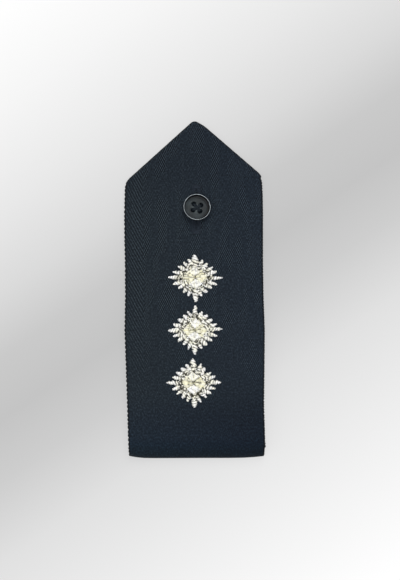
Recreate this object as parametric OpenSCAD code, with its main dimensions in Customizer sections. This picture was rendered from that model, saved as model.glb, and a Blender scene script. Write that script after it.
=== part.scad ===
// Police shoulder strap insignia.
// One length of woven tape is folded over at the foot, so that a garment's shoulder loop
// passes between the face and the tongue behind it. The end of the face is turned in to a
// point, and it has a worked buttonhole, a sewn button and three embroidered star pips.
// It lies on its back: X runs across, Y from the fold to the point and Z out of the face.

/* [Strap] */
// Length from the fold to the point
strap_length = 134.5; // [125:0.5:145]
// Width over both selvedges
strap_width = 56.4; // [52:0.2:60]
// Thickness of the woven tape
tape_thickness = 1.2; // [1:0.1:1.5]
// Distance of the point to the left of the middle
point_left = 0.2; // [0:0.1:2]
// Drop from the point to the left shoulder
left_drop = 25.1; // [22:0.1:27]
// Drop from the point to the right shoulder
right_drop = 22.3; // [21:0.1:27]

/* [Loop] */
// Clear height just inside the fold, where the shoulder loop passes
fold_gap = 5; // [4.8:0.1:6]
// Outer radius of the fold's tight turn at the foot
nose_r = 3; // [2.6:0.1:3.4]
// Outer radius of the soft curve from the fold into the face
crest_r = 14; // [10:0.5:18]
// Clear height between the face and the tongue at the tongue's end
end_gap = 0.4; // [0.3:0.05:0.8]
// Clear distance from the tongue's end to the corners that are turned in behind the point
tuck_gap = 1.1; // [0.5:0.1:4]

/* [Buttonhole] */
// Middle of the buttonhole, to the right of the middle of the strap
buttonhole_x = 0.95; // [-1:0.05:2]
// Middle of the buttonhole, up from the middle of the strap
buttonhole_y = 32.15; // [30:0.05:33]
// Length over the stitching
buttonhole_length = 19.8; // [16:0.1:20]
// Width over the stitching
buttonhole_width = 4.2; // [3.8:0.1:5]
// Width of the slit
slit_width = 1.8; // [1.7:0.1:2]
// Height of the stitching above the tape
binding_height = 0.35; // [0.2:0.05:0.4]

/* [Button] */
// Diameter of the button
button_d = 11.4; // [10.5:0.1:12.5]
// Middle of the button, to the right of the middle of the strap
button_x = 1.2; // [0.9:0.05:1.2]
// Middle of the button, up from the middle of the strap
button_y = 33; // [31:0.1:34]
// Turn of the four holes, seen from the front
button_turn = -9; // [-20:1:20]
// Diameter of each hole
hole_d = 1.7; // [1.5:0.1:1.9]
// Distance between the holes across
hole_apart_x = 2.9; // [2.6:0.1:3.2]
// Distance between the holes lengthwise
hole_apart_y = 2.6; // [2.4:0.1:3.2]

/* [Pips] */
// Width of a pip over its two long side rays
pip_width = 22.3; // [20:0.1:23]
// Height of the embroidery's raised middle
pip_rise = 1.3; // [0.9:0.1:1.6]
// Height of the rays' ridges
ray_rise = 0.65; // [0.4:0.05:0.8]

/* [Hidden] */

// Sides of the round parts
$fn = 96;
// Clear height that the applied pieces keep from what they lie on
seat = 0.1;

// Outline of the strap
foot_y = -strap_length / 2;
point_r = 1.5;
left_shoulder_r = 3;
right_shoulder_r = 1.8;
foot_corner_r = 0.8;
left_shoulder = [0.2 - strap_width / 2, strap_length / 2 - left_drop];
right_shoulder = [strap_width / 2 - 1.1, strap_length / 2 - right_drop];
// Corner that the rounded point is cut from, so that the arc ends at the strap's length
point_slopes = [
    atan2(left_drop, -point_left - left_shoulder.x),
    atan2(right_drop, right_shoulder.x + point_left)
];
point_cut = point_r * (1 / cos((point_slopes[0] + point_slopes[1]) / 2) - 1);
point = [-point_left, strap_length / 2 + point_cut];
// How far the two long edges lie in from the full width, going up
// up from the fold, left edge in, right edge in
edge_rows = [
    [0,    2.0, 0.5],
    [7,    1.6, 0.0],
    [36,   0.7, 0.2],
    [51,   0.1, 0.1],
    [65,   0.3, 0.6],
    [98,   0.0, 0.8],
];

// Side view of the loop: from the tongue the tape turns round the nose, then over the crest,
// and slopes down along the face. The two turns meet where they lean back by nose_lean.
loop_height = fold_gap + 2 * tape_thickness;
nose = [foot_y + nose_r, nose_r];
nose_lean = acos((nose_r + crest_r - loop_height) / (crest_r - nose_r));
crest = nose - (crest_r - nose_r) * leaning(nose_lean);
// The turns are drawn with a point for each of these steps
turn_step = 5;
left_tuck = reflected([left_shoulder.x, point.y], point, left_shoulder);
right_tuck = reflected([right_shoulder.x, point.y], point, right_shoulder);
tongue_end = min(left_tuck.y, right_tuck.y) - tuck_gap;
fall = [tongue_end - crest.x, crest.y - tape_thickness - end_gap];
face_slope = asin((crest_r - tape_thickness) / norm(fall)) + atan2(fall.y, fall.x);
bend_y = left_shoulder.y;
point_top = 2 * tape_thickness;

// Stack of the button and its thread above the face
disc_z = binding_height + 0.25;
disc_height = 0.4;
button_z = disc_z + disc_height + seat;
button_face = 1.3;
bar_z = button_z + button_face + seat;
bar_height = 0.35;
// Outline of half a button, from the underside round the rim to the dished face
// radius as a share of the button's, height
button_rows = [
    [0,     0],
    [0.632, 0],
    [0.965, 0.6],
    [1,     1.2],
    [0.982, 1.9],
    [0.921, 2.25],
    [0.860, 2.1],
    [0.790, 1.45],
    [0.491, button_face],
    [0,     button_face - 0.05],
];

// Where the pips lie
// right of the middle, up from the middle, turn, height over the upright rays
pip_rows = [
    [ 0.38,   4.76, 0.4, 19.4],
    [ 0.34, -16.16, 0.8, 20.0],
    [-0.10, -37.28, 1.2, 20.0],
];
// Rays of a quarter of a pip, from the side ray round to the upright ray
// angle, reach as a share of the half width, width
ray_rows = [
    [16, 0.81, 1.4],
    [32, 0.74, 1.4],
    [51, 0.70, 1.4],
    [69, 0.71, 1.4],
];
side_ray_width = 1.7;
upright_ray_width = 2.3;
// The rays start under the middle, at this share of the half width
ray_root = 0.36;
// Radius of the stitched ground and half sizes of the raised middle, as shares of the half width
ground_share = 0.52;
middle_share = [0.436, 0.413];
ground_height = 0.4;
// Clear distance between the four petals of the middle, at the ground
petal_gap = 0.3;

function xy(row) = [row[0], row[1]];
function unit(v) = v / norm(v);
function turned(v) = [-v.y, v.x];
// Upward unit vector of the side view, leaned back from the point by this angle
function leaning(angle) = [-sin(angle), cos(angle)];
// Mirror image of a point in the line through a and b
function reflected(p, a, b) = a + 2 * ((p - a) * unit(b - a)) * unit(b - a) - (p - a);
// Arc that rounds one corner between its neighbours
function corner_arc(before, corner, after, radius, steps) =
    let (
        u = unit(before - corner),
        v = unit(after - corner),
        half = acos(u * v) / 2,
        centre = corner + unit(u + v) * radius / sin(half),
        start = corner + u * radius / tan(half) - centre,
        end = corner + v * radius / tan(half) - centre,
        sweep = atan2(start.x * end.y - start.y * end.x, start * end)
    )
    [for (i = [0 : steps])
        let (t = sweep * i / steps)
        centre + cos(t) * start + sin(t) * turned(start)];
// Outline through rows of x, y and corner radius, where a radius of 0 keeps the corner
function rounded(rows, steps = 5) =
    [for (i = [0 : len(rows) - 1])
        let (
            last = len(rows),
            before = xy(rows[(i + last - 1) % last]),
            after = xy(rows[(i + 1) % last]),
            radius = rows[i][2]
        )
        each radius > 0
            ? corner_arc(before, xy(rows[i]), after, radius, steps)
            : [xy(rows[i])]];
// Points along a turn of the side view, between two leans
function turn_points(centre, radius, from, to, first = 0) =
    let (steps = round(abs(to - from) / turn_step))
    [for (i = [first : steps]) centre + radius * leaning(from + (to - from) * i / steps)];
// Height of the face above the surface that the strap lies on, up to the bend
function face_top(y) = crest.y + (crest_r - (y - crest.x) * sin(face_slope)) / cos(face_slope);

// Places its children on the sloping face
module on_face(x, y) {
    translate([x, y, face_top(y)])
        rotate([-face_slope, 0, 0])
            children();
}

module strap_outline() {
    left_edge = [for (row = edge_rows)
        [row[1] - strap_width / 2, foot_y + row[0], row[0] == 0 ? foot_corner_r : 0]];
    right_edge = [for (i = [len(edge_rows) - 1 : -1 : 0])
        let (row = edge_rows[i])
        [strap_width / 2 - row[2], foot_y + row[0], row[0] == 0 ? foot_corner_r : 0]];
    polygon(rounded(concat(
        left_edge,
        [[left_shoulder.x, left_shoulder.y, left_shoulder_r]],
        [[point.x, point.y, point_r]],
        [[right_shoulder.x, right_shoulder.y, right_shoulder_r]],
        right_edge
    )));
}

// Side view of the tape: tongue, fold and face, drawn with Y to the right and Z up
module loop_profile() {
    under_bend = face_top(bend_y) - tape_thickness / cos(face_slope);
    outside = concat(
        [[tongue_end, 0]],
        turn_points(nose, nose_r, 180, nose_lean),
        turn_points(crest, crest_r, nose_lean, -face_slope, first = 1),
        [[bend_y, face_top(bend_y)], [point.y, point_top]]
    );
    inside = concat(
        [[tongue_end, tape_thickness]],
        turn_points(nose, nose_r - tape_thickness, 180, nose_lean),
        turn_points(crest, crest_r - tape_thickness, nose_lean, -face_slope, first = 1),
        [[bend_y, under_bend], [point.y, tape_thickness]]
    );
    polygon(concat(outside, [for (i = [len(inside) - 1 : -1 : 0]) inside[i]]));
}

// Side view of the corners turned in behind the point, one tape's thickness under the face
module tuck_profile() {
    polygon([
        [tongue_end, face_top(tongue_end) - 2 * tape_thickness],
        [bend_y, face_top(bend_y) - 2 * tape_thickness],
        [point.y, 0],
        [point.y, 1.5 * tape_thickness],
        [bend_y, face_top(bend_y) - tape_thickness / 2],
        [tongue_end, face_top(tongue_end) - tape_thickness / 2]
    ]);
}

// Extrudes a side view across the whole width of the strap
module across() {
    rotate([90, 0, 90])
        linear_extrude(strap_width + 2, center = true)
            children();
}

// Straight slot with round ends
module slot(length, width) {
    square([width, length - width], center = true);
    for (side = [-1, 1])
        translate([0, side * (length - width) / 2])
            circle(d = width);
}

module strap() {
    color("#262d35")
        difference() {
            intersection() {
                union() {
                    across()
                        loop_profile();
                    intersection() {
                        across()
                            tuck_profile();
                        linear_extrude(2 * loop_height)
                            union() {
                                polygon([point, left_shoulder, left_tuck]);
                                polygon([point, right_shoulder, right_tuck]);
                            }
                    }
                }
                linear_extrude(2 * loop_height)
                    strap_outline();
            }
            on_face(buttonhole_x, buttonhole_y)
                translate([0, 0, -tape_thickness - end_gap / 2])
                    linear_extrude(2 * tape_thickness)
                        slot(buttonhole_length - buttonhole_width + slit_width, slit_width);
        }
}

// Stitched lips round the slit, with a bar across each end
module buttonhole_binding() {
    bar = [buttonhole_width, (buttonhole_width - slit_width) / 2];
    color("#20262e")
        on_face(buttonhole_x, buttonhole_y)
            translate([0, 0, seat]) {
                linear_extrude(binding_height)
                    difference() {
                        slot(buttonhole_length, buttonhole_width);
                        slot(buttonhole_length - buttonhole_width + slit_width, slit_width);
                    }
                linear_extrude(binding_height)
                    for (side = [-1, 1])
                        translate([0, side * (buttonhole_length - bar.y) / 2])
                            square(bar, center = true);
            }
}

module at_button_holes() {
    for (x = [-0.5, 0.5], y = [-0.5, 0.5])
        translate([x * hole_apart_x, y * hole_apart_y])
            children();
}

// Round button with a raised rim, a dished face and four holes
module button() {
    color("#43464b")
        on_face(button_x, button_y)
            rotate([0, 0, button_turn])
                translate([0, 0, button_z])
                    difference() {
                        rotate_extrude()
                            polygon([for (row = button_rows) [row[0] * button_d / 2, row[1]]]);
                        translate([0, 0, -1])
                            linear_extrude(button_face + 2)
                                at_button_holes()
                                    circle(d = hole_d);
                    }
}

// Sewing thread: a shank from the tongue through the slit, four legs and a cross on top
module button_thread() {
    shank_r = slit_width / 2 - 0.2;
    leg_r = 0.45;
    shank_foot = tape_thickness + seat - face_top(button_y);
    leg_cover = 0.15;
    span = norm([hole_apart_x, hole_apart_y]);
    bar = [span + 2 * leg_r + leg_cover, 2 * leg_r + leg_cover, bar_height];
    color("#1c222a")
        on_face(button_x, button_y)
            rotate([0, 0, button_turn]) {
                translate([0, 0, shank_foot])
                    rotate([0, 0, -button_turn])
                        translate([buttonhole_x - button_x, 0, 0])
                            cylinder(h = disc_z + disc_height / 2 - shank_foot, r = shank_r);
                translate([0, 0, disc_z])
                    cylinder(h = disc_height, r = span / 2 + leg_r + leg_cover);
                translate([0, 0, disc_z + disc_height / 2])
                    linear_extrude(bar_z + bar_height / 2 - disc_z - disc_height / 2)
                        at_button_holes()
                            circle(r = leg_r);
                for (side = [-1, 1])
                    rotate([0, 0, side * atan2(hole_apart_y, hole_apart_x)])
                        translate([0, 0, bar_z + bar_height / 2])
                            cube(bar, center = true);
            }
}

// One leaf-shaped ray along X, from its root under the middle to its tip
module ray(root, reach, width) {
    belly = root + 0.55 * (reach - root);
    hull() {
        linear_extrude(0.2)
            polygon([
                [root, -0.3 * width], [belly, -0.5 * width], [reach - 0.6 * width, -0.33 * width],
                [reach, 0],
                [reach - 0.6 * width, 0.33 * width], [belly, 0.5 * width], [root, 0.3 * width]
            ]);
        translate([root, -0.08 * width, 0])
            cube([belly - root, 0.16 * width, ray_rise]);
        translate([belly, -0.05 * width, 0])
            cube([0.6 * (reach - belly), 0.1 * width, 0.8 * ray_rise]);
    }
}

// Quarter of the raised middle that points along X: a padded kite
module petal(half, rise) {
    side = half / 2;
    inner = petal_gap * 0.7;
    hull() {
        linear_extrude(ground_height)
            polygon([
                [inner, 0], [side.x + 0.1, petal_gap / 2 - side.y], [0.78 * half.x, -0.27 * half.y],
                [half.x, 0],
                [0.78 * half.x, 0.27 * half.y], [side.x + 0.1, side.y - petal_gap / 2]
            ]);
        translate([0.42 * half.x, 0, 0])
            linear_extrude(rise)
                scale([1, half.y / half.x])
                    circle(r = 0.13 * half.x, $fn = 8);
        translate([0.64 * half.x, 0, 0])
            linear_extrude(0.85 * rise)
                circle(r = 0.1 * half.x, $fn = 8);
    }
}

// Embroidered four-pointed star with rays between its points, a stitched ground and a
// middle of four padded petals
module pip(row) {
    half = [pip_width / 2, row[3] / 2];
    root = ray_root * half.x;
    color("#eceadf")
        on_face(row[0], row[1])
            rotate([0, 0, row[2]])
                translate([0, 0, seat]) {
                    for (side = [0, 180])
                        rotate([0, 0, side]) {
                            ray(root, half.x, side_ray_width);
                            rotate([0, 0, 90])
                                ray(root, half.y, upright_ray_width);
                            petal(middle_share * half.x, pip_rise);
                            rotate([0, 0, 90])
                                petal([middle_share.y, middle_share.x] * half.x, pip_rise);
                        }
                    for (ray_row = ray_rows, turn = [0, 180], flip = [-1, 1])
                        rotate([0, 0, turn + flip * ray_row[0]])
                            ray(root, ray_row[1] * half.x, ray_row[2]);
                    cylinder(h = ground_height, r = ground_share * half.x, $fn = 40);
                }
}

module pip_top() {
    pip(pip_rows[0]);
}

module pip_middle() {
    pip(pip_rows[1]);
}

module pip_bottom() {
    pip(pip_rows[2]);
}

strap();
buttonhole_binding();
button();
button_thread();
pip_top();
pip_middle();
pip_bottom();
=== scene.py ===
# A police shoulder strap lying on a pale table: herringbone tape folded over at the foot and
# mitred to a point, a worked buttonhole, a sewn button and three embroidered star pips.
from functools import partial
import bmesh
import bpy
import numpy as np
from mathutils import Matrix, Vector


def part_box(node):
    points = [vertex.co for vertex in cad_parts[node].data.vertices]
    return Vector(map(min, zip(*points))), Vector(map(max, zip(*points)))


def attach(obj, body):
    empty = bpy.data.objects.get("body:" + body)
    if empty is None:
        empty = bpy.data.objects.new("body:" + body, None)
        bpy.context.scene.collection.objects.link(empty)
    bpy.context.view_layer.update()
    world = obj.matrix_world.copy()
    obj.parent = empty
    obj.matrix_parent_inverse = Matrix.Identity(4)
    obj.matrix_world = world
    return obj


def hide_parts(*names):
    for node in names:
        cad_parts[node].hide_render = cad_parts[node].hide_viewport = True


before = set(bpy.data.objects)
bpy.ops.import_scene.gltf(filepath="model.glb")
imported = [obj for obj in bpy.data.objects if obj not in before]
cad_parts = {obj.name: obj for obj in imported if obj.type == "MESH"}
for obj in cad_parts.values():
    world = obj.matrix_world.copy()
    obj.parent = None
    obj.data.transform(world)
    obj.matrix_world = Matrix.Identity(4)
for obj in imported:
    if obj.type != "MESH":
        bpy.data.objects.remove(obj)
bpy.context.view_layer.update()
mm = 0.001  # every size below is in millimetres
strapLow, strapHigh = (np.array(corner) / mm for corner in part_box("strap"))
strapWidth = strapHigh[0] - strapLow[0]
scene = bpy.context.scene


# shared helpers

def toLinear(hexColour):
    # sRGB hex to linear RGBA: the standard curve, channel by channel
    srgb = np.array([int(hexColour[i:i + 2], 16) for i in (1, 3, 5)]) / 255
    linear = np.where(srgb <= 0.04045, srgb / 12.92, ((srgb + 0.055) / 1.055) ** 2.4)
    return (*linear.tolist(), 1.0)


def addNode(tree, kind, *values, named=None, stops=(), **settings):
    # one node with its settings and a ramp's stops; values fill the sockets that it shows in their
    # order, or by name; a value is a number, a socket, or a node, which stands for its first output
    node = tree.nodes.new("ShaderNode" + kind)
    for key, setting in settings.items():
        setattr(node, key, setting)
    for _ in stops[2:]:
        node.color_ramp.elements.new(0.5)
    for k, (position, colour) in enumerate(stops):
        node.color_ramp.elements[k].position = position
        node.color_ramp.elements[k].color = toLinear(colour)
    shown = [socket for socket in node.inputs if socket.enabled]
    for socket, value in [*zip(shown, values), *((node.inputs[key], v) for key, v in (named or {}).items())]:
        if isinstance(value, bpy.types.Node):
            value = next(output for output in value.outputs if output.enabled)
        if isinstance(value, bpy.types.NodeSocket):
            tree.links.new(value, socket)
        else:
            socket.default_value = value
    return node


# settings that many nodes share
times, timesPlus, sine = ({"operation": kind} for kind in ("MULTIPLY", "MULTIPLY_ADD", "SINE"))
smooth = {"interpolation_type": "SMOOTHSTEP"}
blended, multiplied = {"data_type": "RGBA"}, {"data_type": "RGBA", "blend_type": "MULTIPLY"}


def newMaterial(name, finish, *values):
    # finish adds the nodes of a surface and returns what its shader takes, by socket
    material = bpy.data.materials.new(name)
    material.use_nodes = True
    material.node_tree.nodes.clear()
    add = partial(addNode, material.node_tree)
    add("OutputMaterial", add("BsdfPrincipled", named=finish(add, *values)))
    return material


def axes(points):
    # the coordinates of points, one array for each axis
    return np.moveaxis(points, -1, 0)


def unit(v):
    # vectors divided by their length, which is kept above zero
    return v / np.maximum(np.linalg.norm(v, axis=-1, keepdims=True), 1e-12)


def bell(x, width):
    # one in the middle, falling to both sides as e to the minus square of x over the width
    return np.exp(-(x / width) ** 2)


def heading(radians):
    # unit vectors in plan at angles from the x axis
    return np.stack([np.cos(radians), np.sin(radians)], -1)


def leftOf(v):
    # plan vectors turned by a quarter to the left
    return np.stack([-v[..., 1], v[..., 0]], -1)


def spin(points, degrees):
    # points turned in plan about the origin; their height stays
    (c, s), (x, y, z) = heading(np.radians(degrees)), axes(points)
    return np.stack([x * c - y * s, x * s + y * c, z], -1)


def raised(plan, height):
    # plan points with their heights
    return np.concatenate([plan, np.broadcast_to(height, plan.shape[:-1])[..., None]], -1)


def gridQuads(rows, columns, around=False):
    # quads of a grid of rows x columns points, row by row; around joins the last column to the first
    row = np.arange(rows - 1)[:, None] * columns
    column = np.arange(columns if around else columns - 1)[None, :]
    after = (column + 1) % columns
    quads = np.stack([row + column, row + after, row + columns + after, row + columns + column], -1)
    return quads.reshape(-1, 4)


def tubeFaces(rows, columns):
    # quads of a tube of rows x columns points, and triangles to two more points, which close its first
    # and its last ring
    ring = np.arange(columns)
    after, last, end = (ring + 1) % columns, (rows - 1) * columns, np.full(columns, rows * columns)
    caps = [np.stack([end, after, ring], -1), np.stack([end + 1, last + ring, last + after], -1)]
    return [gridQuads(rows, columns, around=True), np.concatenate(caps)]


def tubeGrid(first, last, rows, columns):
    # a tube's two parameters at each of its points: one from first to last along it, the angle round it
    return np.meshgrid(np.linspace(first, last, rows), np.arange(columns) * 2 * np.pi / columns,
                       indexing="ij")


def closedTube(rings, first, last):
    # points and faces of one tube; first and last are the points that close its ends
    return np.concatenate([rings.reshape(-1, 3), [first, last]]), tubeFaces(*rings.shape[:2])


def joinParts(parts):
    # pairs of points and faces as one: each part's indices move up past the points before it
    bases = np.cumsum([0] + [len(points) for points, _ in parts])
    faces = [face + base for base, (_, partFaces) in zip(bases, parts) for face in partFaces]
    return np.concatenate([points for points, _ in parts]), faces


def meshPiece(name, points, faces, uv=None, attributes=None, slot=None, replaces=()):
    # points in millimetres, faces as index arrays of quads or triangles, uv one row per point
    mesh = bpy.data.meshes.new(name)
    mesh.from_pydata((points * mm).tolist(), [], [face for part in faces for face in part.tolist()])
    mesh.polygons.foreach_set("use_smooth", np.ones(len(mesh.polygons), bool))
    if uv is not None:
        corner = np.zeros(len(mesh.loops), int)
        mesh.loops.foreach_get("vertex_index", corner)
        mesh.uv_layers.new(name="cloth").data.foreach_set("uv", uv.astype(np.float32)[corner].ravel())
    for key, values in (attributes or {}).items():
        mesh.attributes.new(key, "FLOAT", "POINT").data.foreach_set("value", values.astype(np.float32))
    mesh.update()
    piece = bpy.data.objects.new(name, mesh)
    scene.collection.objects.link(piece)
    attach(piece, "root")
    if replaces:
        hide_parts(*replaces)
    return piece


def closeSeams(piece):
    # merges the points that parts share, then turns the faces outwards
    work = bmesh.new()
    work.from_mesh(piece.data)
    bmesh.ops.remove_doubles(work, verts=work.verts, dist=0.002 * mm)
    bmesh.ops.recalc_face_normals(work, faces=work.faces)
    work.to_mesh(piece.data)
    work.free()


# camera, table and light

view = {
    "mmPerPixel": 0.4,  # scale of the photograph at the strap's face
    "pixels": (400, 580),
    "centre": (2.34, -0.16),  # the point that the middle of the picture shows
    "lens": 100.0,
    "sensor": 36.0,
    "faceHeight": 4.6,  # mean height of the face above the table
    "clip": (0.01, 20.0),  # metres
}
camera = bpy.data.objects.new("camera", bpy.data.cameras.new("camera"))
scene.collection.objects.link(camera)
camera.data.lens, camera.data.sensor_width = view["lens"], view["sensor"]
camera.data.clip_start, camera.data.clip_end = view["clip"]
# the lens sees the picture's height over its distance as the sensor over the focal length
cameraHeight = view["pixels"][1] * view["mmPerPixel"] * view["lens"] / view["sensor"] + view["faceHeight"]
camera.location = [place * mm for place in (*view["centre"], cameraHeight)]
scene.camera = camera

table = {
    "size": 6000.0,
    "lean": 34.0,  # degrees, direction in which the board's tone changes
    "reach": 150.0,  # from the darkest line, through the origin, to the palest tone
    "opacity": "#959595",  # how much of the light from above the board throws back
    "glow": 1.77,  # light from below, as a share of what white paper throws back
    # painted shade: tones from one pale corner over the darkest line to the other pale corner
    "tones": ((0.0, "#b8b8b8"), (0.15, "#afafaf"), (0.27, "#a5a5a5"), (0.36, "#9b9b9b"), (0.43, "#8f8f8f"),
              (0.5, "#8b8b8b"), (0.57, "#929292"), (0.66, "#a0a0a0"), (0.8, "#ababab"), (1.0, "#b9b9b9")),
}


def opalAcrylic(add):
    # matt opal acrylic without texture, lit from below by a few times as much as it throws back, so that
    # shadows on it stay faint; its grey is painted shade, a darker diagonal band that fades out to both
    # corners
    x, y = heading(np.radians(table["lean"]))
    across = add("VectorMath", add("TexCoord").outputs["Object"], (y, -x, 0.0), operation="DOT_PRODUCT")
    tone = add("ValToRGB", add("MapRange", across, -table["reach"] * mm, table["reach"] * mm),
               stops=table["tones"])
    thrownBack = add("Mix", 1.0, tone, toLinear(table["opacity"]), **multiplied)
    return {"Base Color": thrownBack, "Roughness": 0.95, "Specular IOR Level": 0.0,
            "Emission Color": tone, "Emission Strength": table["glow"]}


def makeTable():
    # one large square, level with the surface that the strap lies on
    half = table["size"] / 2 * mm
    mesh = bpy.data.meshes.new("tableTop")
    corners = [(-half, -half, 0), (half, -half, 0), (half, half, 0), (-half, half, 0)]
    mesh.from_pydata(corners, [], [(0, 1, 2, 3)])
    mesh.materials.append(newMaterial("opalLightTable", opalAcrylic))
    top = bpy.data.objects.new("tableTop", mesh)
    scene.collection.objects.link(top)
    return top


room = {"colour": "#f6f7f9", "strength": 0.42}
lights = [
    # name, place in metres, size in metres, watts, colour
    ("keySoftbox", (0.22, 0.95, 1.40), 1.1, 15.0, "#fffdfa"),
    ("fillSoftbox", (-0.9, -0.5, 1.30), 1.5, 7.5, "#f8faff"),
    ("overheadSoftbox", (0.0, 0.1, 1.90), 1.8, 13.0, "#ffffff"),
]


def makeLights():
    # a large soft key from the head end, a weak fill from the foot and a broad overhead light
    for name, place, size, watts, colour in lights:
        light = bpy.data.lights.new(name, "AREA")
        light.shape, light.size, light.energy = "DISK", size, watts
        light.color = toLinear(colour)[:3]
        lamp = bpy.data.objects.new(name, light)
        lamp.location = place
        lamp.rotation_mode = "QUATERNION"
        lamp.rotation_quaternion = (-Vector(place)).to_track_quat("-Z", "Y")
        scene.collection.objects.link(lamp)
    scene.world = bpy.data.worlds.new("room")
    scene.world.use_nodes = True
    background = scene.world.node_tree.nodes["Background"]
    background.inputs["Color"].default_value = toLinear(room["colour"])
    background.inputs["Strength"].default_value = room["strength"]
    scene.view_settings.view_transform = "Standard"


tableTop = makeTable()
makeLights()
print("camera, table and light are set")


# the tape: its side view, its plan and its two mitred corners

tape = {
    "wall": 1.2,  # thickness of the CAD wall, whose middle the cloth follows
    "thickness": 1.15,  # thickness of the cloth
    "noseRadius": 3.0,  # outer radius of the tight turn at the foot
    "crestRadius": 14.0,  # outer radius of the soft curve into the face
    "endGap": 0.4,  # clear height over the tongue's end
    "tongueEnd": 38.9,  # y where the tongue ends
    "bend": (42.5, 1.0),  # y where the face bends down to the head, half the bend's length
    "spare": 4.0,  # how far the side view runs on past the tip of the solid
    # corners of the outline at the head before they are rounded, and their radii
    "apex": (0.62, 68.85), "apexRadius": 2.9,
    "shoulders": ((-27.7, 43.3), (27.4, 45.8)), "shoulderRadii": (6.8, 6.4),
    "slump": (2.0, 1.6, 0.55),  # right of the point the edge sags: where, how wide, how deep
    "slumpRise": (62.0, 67.0),  # y where the sag begins and is full
    "rollRadius": 0.6,  # radius of the mitre folds, to the middle of the cloth
    "wave": 0.2,  # depth of the face's soft unevenness
    # the sine waves in it: share, mm for a radian across and along, phase
    "waves": ((1.0, 8.5, 31.0, 0.6), (0.8, -17.0, 11.3, 2.1), (0.5, 5.1, -14.0, 4.0)),
    "waveEnds": (-64.0, -50.0, 46.0, 66.0),  # y where they begin, are full, begin to fade and end
    "peek": (0.6, 3.5, 2.6),  # right of the fold the tongue shows: how far, how far up, over what
    "bowReach": 26.0,  # along the tape, from the fold to where it is straight again
    "columns": 125,  # of the grid, across the tape
    "rowSpacing": (3.0, 0.45, 0.95, 0.45),  # along the tongue, the fold, the face and the head
    # how far the long edges lie in from the full width: up from the foot, left, right
    "edges": ((0, 2.35, 0.4), (7, 2.1, 0.1), (21, 1.68, 0.5), (36, 1.15, 0.3), (51, 0.58, 0.15),
              (65, 0.8, 0.65), (79, 0.66, 0.85), (86, 0.46, 0.83), (98, 0.34, 0.8), (107, 0.55, 0.95),
              (109.5, 0.44, 1.1)),
    # how far the foot's fold draws back: across from the left edge, how far
    "bow": ((0, 1.1), (1.2, 0.85), (3, 0.35), (5, 0.0), (8, -0.3), (12, -0.38), (32, -0.3), (42, -0.3),
            (48, -0.2), (52, 0.05), (54.5, 0.3), (56.4, 0.5)),
}


def solveSideView():
    # the tape's lean is a function of the distance along it: level on the tongue, two arcs round
    # the fold, then the face's slope; its place is the running sum of the lean's cosine and sine
    half = tape["wall"] / 2
    noseR, crestR, (bendY, halfBend) = tape["noseRadius"], tape["crestRadius"], tape["bend"]
    nose = np.array([strapLow[1] + noseR, noseR])
    noseLean = np.arccos((noseR + crestR - strapHigh[2]) / (crestR - noseR))
    crest = nose - (crestR - noseR) * np.array([-np.sin(noseLean), np.cos(noseLean)])
    fall = np.array([tape["tongueEnd"] - crest[0], crest[1] - tape["wall"] - tape["endGap"]])
    slope = np.arcsin((crestR - tape["wall"]) / np.hypot(*fall)) + np.arctan2(fall[1], fall[0])
    tangentY = crest[0] + (crestR - half) * np.sin(slope)
    bendZ = crest[1] + (crestR - half - (bendY - crest[0]) * np.sin(slope)) / np.cos(slope)
    headSlope = np.arctan2(bendZ - (2 * tape["wall"] - half), strapHigh[1] - bendY)
    ends = np.cumsum([
        0, tape["tongueEnd"] - nose[0], (noseR - half) * (np.pi - noseLean),
        (crestR - half) * (noseLean + slope), (bendY - tangentY) / np.cos(slope),
        (strapHigh[1] + tape["spare"] - bendY) / np.cos(headSlope)
    ])
    along = np.linspace(0, ends[-1], 24001)  # a step every hundredth of a millimetre
    lean = np.interp(along, [0, ends[1], ends[2], ends[3], ends[4] - halfBend, ends[4] + halfBend, ends[5]],
                     [np.pi, np.pi, noseLean, -slope, -slope, -headSlope, -headSlope])
    middle, step = (lean[1:] + lean[:-1]) / 2, along[1] - along[0]
    y = tape["tongueEnd"] + np.concatenate([[0], np.cumsum(np.cos(middle)) * step])
    z = half + np.concatenate([[0], np.cumsum(np.sin(middle)) * step])
    face = along > ends[3]
    return {"s": along, "y": y, "z": z, "faceS": along[face], "faceY": y[face], "faceZ": z[face],
            "ends": ends, "slope": slope}


side = solveSideView()


def wave(x, y):
    # a slow unevenness of the face: crossed sine waves, fading out at the point and the fold
    shares, acrosses, alongs, phases = np.array(tape["waves"]).T
    waves = sum(s * np.sin(x / a + y / b + p) for s, a, b, p in zip(shares, acrosses, alongs, phases))
    return tape["wave"] * np.interp(y, tape["waveEnds"], (0, 1, 1, 0)) * waves / sum(shares)


def faceMiddle(x, y):
    # height of the middle of the cloth on the face: the side view's, and the unevenness on it
    return np.interp(y, side["faceY"], side["faceZ"]) + wave(x, y)


def mitreLines():
    # the fold lines lie one outer roll radius inside the slanted outlines; both are tangent to a
    # small circle, so that the point is rounded
    apex, outer = np.array(tape["apex"]), tape["rollRadius"] + tape["thickness"] / 2
    downs = unit(np.array(tape["shoulders"]) - apex)
    normals = leftOf(downs) * [[-1], [1]]
    centre = np.linalg.solve(normals, normals @ apex - tape["apexRadius"])
    return {"centre": centre, "radius": tape["apexRadius"] - outer, "normals": normals, "downs": downs}


mitre = mitreLines()


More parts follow.
